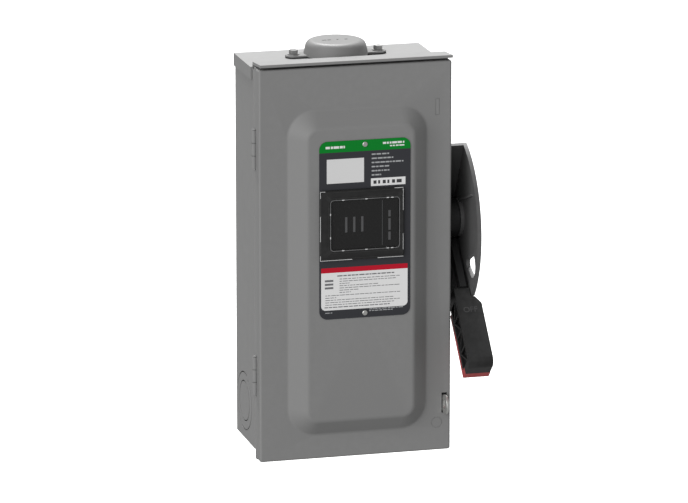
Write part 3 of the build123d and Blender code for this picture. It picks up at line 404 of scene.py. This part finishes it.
rib_proud, lip_proud, frame_highlight_proud = 0.5, 0.35, 0.25
bm = bmesh.new()
ring(bm, outline_at(-3.4, 6.0, inner_box), outline_at(-2.4, 5.0, inner_box), front, rib_proud)
ring(bm, outline_at(1.6, 3.0, outer_box), outline_at(2.4, 2.4, outer_box), front, lip_proud)
piece("bezel_ribs", bm, finishes["black_moulding"], "door")

# Painted highlight: a grey line round the window for the light caught on its rim.
bm = bmesh.new()
ring(bm, outline_at(-0.9, 3.8, inner_box), outline_at(-0.5, 3.4, inner_box), front,
     frame_highlight_proud)
piece("window_frame_highlight", bm, painted_soft_highlight, "door")

# Painted highlights: light grey dashes where the small catches round the window catch the light.
catch_proud, catch_long, catch_wide = 0.5, 2.6, 0.9
side_catch_tall = 2.4
bm = bmesh.new()
for x in (wx0 + 12, wx0 + 38, wx1 - 14, wx1 - 9):
    for z in (wz0 - 1.0, wz1 + 0.2):
        block(bm, x, x + catch_long, z, z + catch_wide, front, catch_proud)
for z in (wz0 + 13, wz1 - 16):
    block(bm, wx0 - 1.3, wx0 - 0.4, z, z + side_catch_tall, front, catch_proud)
piece("window_catch_highlights", bm, painted_highlight, "door")

# Painted highlights: broken light grey strips along the bezel's edges, standing in for the light those edges
# catch.
highlight_wide, highlight_proud = 0.55, 0.2
upright_highlights = (             # x, z from, z to
    (bx0 + 0.2, bz0 + 22, bz0 + 50), (bx1 - 1.6, bz1 - 26, bz1 - 2),
    (bx1 - 1.6, bz0 + 8, bz0 + 26), (bx0 + 0.2, bz1 - 8, bz1 - 1.2),
    (bx0 + 0.2, bz0 + 1.0, bz0 + 6))
level_highlights = (               # z, x from, x to
    (bz1 - 1.0, bx0 + 0.2, bx0 + 6), (bz1 - 1.0, bx1 - 11, bx1 - 1.2),
    (bz0 + 0.3, bx0 + 0.2, bx0 + 36), (bz0 + 0.3, bx1 - 30, bx1 - 1))
bm = bmesh.new()
for x, z0, z1 in upright_highlights:
    block(bm, x, x + highlight_wide, z0, z1, front, highlight_proud)
for z, x0, x1 in level_highlights:
    block(bm, x0, x1, z, z + highlight_wide, front, highlight_proud)
piece("bezel_painted_highlights", bm, painted_highlight, "door")

pane_ink = 0.05
divider, divider_wide, divider_short = wx1 - 18.5, 0.5, 2.5
bar_x, bar_pitch, bar_wide, bar_short = 16, 9, 2.5, 19
column_x = (7.0, 9.6)         # from the divider
column_dashes = ((8, 9), (19, 13), (34, 7))      # height above the pane's foot, and length
bm = bmesh.new()
block(bm, divider, divider + divider_wide, wz0 + divider_short, wz1 - divider_short,
      pane_face, pane_ink)
for step in range(3):
    x = wx0 + bar_x + bar_pitch * step
    block(bm, x, x + bar_wide, wz0 + bar_short, wz1 - bar_short, pane_face, pane_ink)
for up, tall in column_dashes:
    block(bm, divider + column_x[0], divider + column_x[1], wz0 + up, wz0 + up + tall,
          pane_face, pane_ink)
piece("window_marks", bm, print_faint, "door")

# ---------------------------------------------------------------- handle lettering
OFF_LEAN = 42.5               # degrees that the handle leans forward of straight down at off
OFF_SIZE, OFF_DEEP, OFF_BOLDER = 9.2, 0.10, 0.12
OFF_ALONG, OFF_FORWARD = 108.6, -14.58           # from the handle's axis, along and off its face
OFF_INWARD = 0.4
axis = Vector(joints["handle_throw"]["pos_m"])
lean = radians(OFF_LEAN)
along = Vector((0, -sin(lean), -cos(lean)))
forward = Vector((0, -cos(lean), sin(lean)))
grip_low, grip_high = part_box("handle_grip")

curve = bpy.data.curves.new("off_text", "FONT")
curve.body = "OFF"
curve.size = OFF_SIZE * MM
curve.extrude = OFF_DEEP * MM
curve.offset = OFF_BOLDER * MM
curve.align_x, curve.align_y = "CENTER", "CENTER"
text = bpy.data.objects.new("off_text", curve)
bpy.context.scene.collection.objects.link(text)
bpy.context.view_layer.update()
mesh = bpy.data.meshes.new_from_object(text)
bpy.data.objects.remove(text)
turn = Matrix((Vector((1, 0, 0)), -along, forward)).transposed().to_4x4()
spot = axis + along * OFF_ALONG * MM + forward * OFF_FORWARD * MM
spot.x = (grip_low.x + grip_high.x) / 2 - OFF_INWARD * MM
mesh.transform(Matrix.Translation(spot) @ turn)
mesh.materials.clear()
mesh.materials.append(raised_mark)
lettering = bpy.data.objects.new("handle_off_mark", mesh)
bpy.context.scene.collection.objects.link(lettering)
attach(lettering, "handle")

# ---------------------------------------------------------------- hub cap marks
low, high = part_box("hub_cap")
mark_bars = ((-13.5, 2.2), (-8.0, 1.8), (1.5, 0.8), (11.0, 1.6))     # x, and half its length
mark_wide, mark_tall, mark_lift, mark_forward = 1.8, 0.5, 0.1, 2
bm = bmesh.new()
for x, half in mark_bars:
    made = bmesh.ops.create_cube(bm, size=1.0)
    spot = Vector((x * MM, (low.y + high.y) / 2 - mark_forward * MM, high.z + mark_lift * MM))
    bmesh.ops.scale(bm, vec=(2 * half * MM, mark_wide * MM, mark_tall * MM), verts=made["verts"])
    bmesh.ops.translate(bm, vec=spot, verts=made["verts"])
piece("cap_mould_marks", bm, cap_marks, "box")

# ---------------------------------------------------------------- floor, light, camera
# The box hangs on a wall, so the floor is well below it, and neither lights it nor shows in its gloss.
FLOOR_HALF, FLOOR_Z = 9.0, -0.9
WORLD_STRENGTH = 0.34
CAMERA_DOWN, CAMERA_TURN = 14.036, 14.894        # degrees below level, and to the right
bm = bmesh.new()
bmesh.ops.create_grid(bm, x_segments=1, y_segments=1, size=FLOOR_HALF)
mesh = bpy.data.meshes.new("floor")
bm.to_mesh(mesh)
bm.free()
mesh.materials.append(
    finish("pale_floor", (0.90, 0.90, 0.90), 0.8, mottle=0.01, specular=0.1))
floor = bpy.data.objects.new("floor", mesh)
floor.location.z = FLOOR_Z
floor.visible_diffuse = False
floor.visible_glossy = False
bpy.context.scene.collection.objects.link(floor)

world = bpy.data.worlds.new("studio")
world.use_nodes = True
world.node_tree.nodes["Background"].inputs["Color"].default_value = (1, 1, 1, 1)
world.node_tree.nodes["Background"].inputs["Strength"].default_value = WORLD_STRENGTH
bpy.context.scene.world = world


def sun(name, towards, strength, spread):
    """A soft sun in the direction given, its spread in degrees."""
    light = bpy.data.lights.new(name, "SUN")
    light.energy = strength
    light.angle = radians(spread)
    obj = bpy.data.objects.new(name, light)
    obj.rotation_euler = Vector(towards).to_track_quat("Z", "Y").to_euler()
    bpy.context.scene.collection.objects.link(obj)


sun("key_above", (0.05, 0.55, 0.82), 5.8, 35)
sun("fill_left", (-0.68, -0.62, 0.26), 2.40, 60)
sun("rim_right", (0.75, 0.55, 0.10), 0.6, 60)

camera = bpy.data.cameras.new("camera")
camera.sensor_width = 36.0
camera.lens = 284.8
camera.clip_start, camera.clip_end = 0.5, 60.0
eye = bpy.data.objects.new("camera", camera)
eye.location = (-1.4836, -5.6534, 1.4442)
eye.rotation_euler = (radians(90 - CAMERA_DOWN), 0, radians(-CAMERA_TURN))
bpy.context.scene.collection.objects.link(eye)
bpy.context.scene.camera = eye
bpy.context.scene.view_settings.view_transform = "Standard"
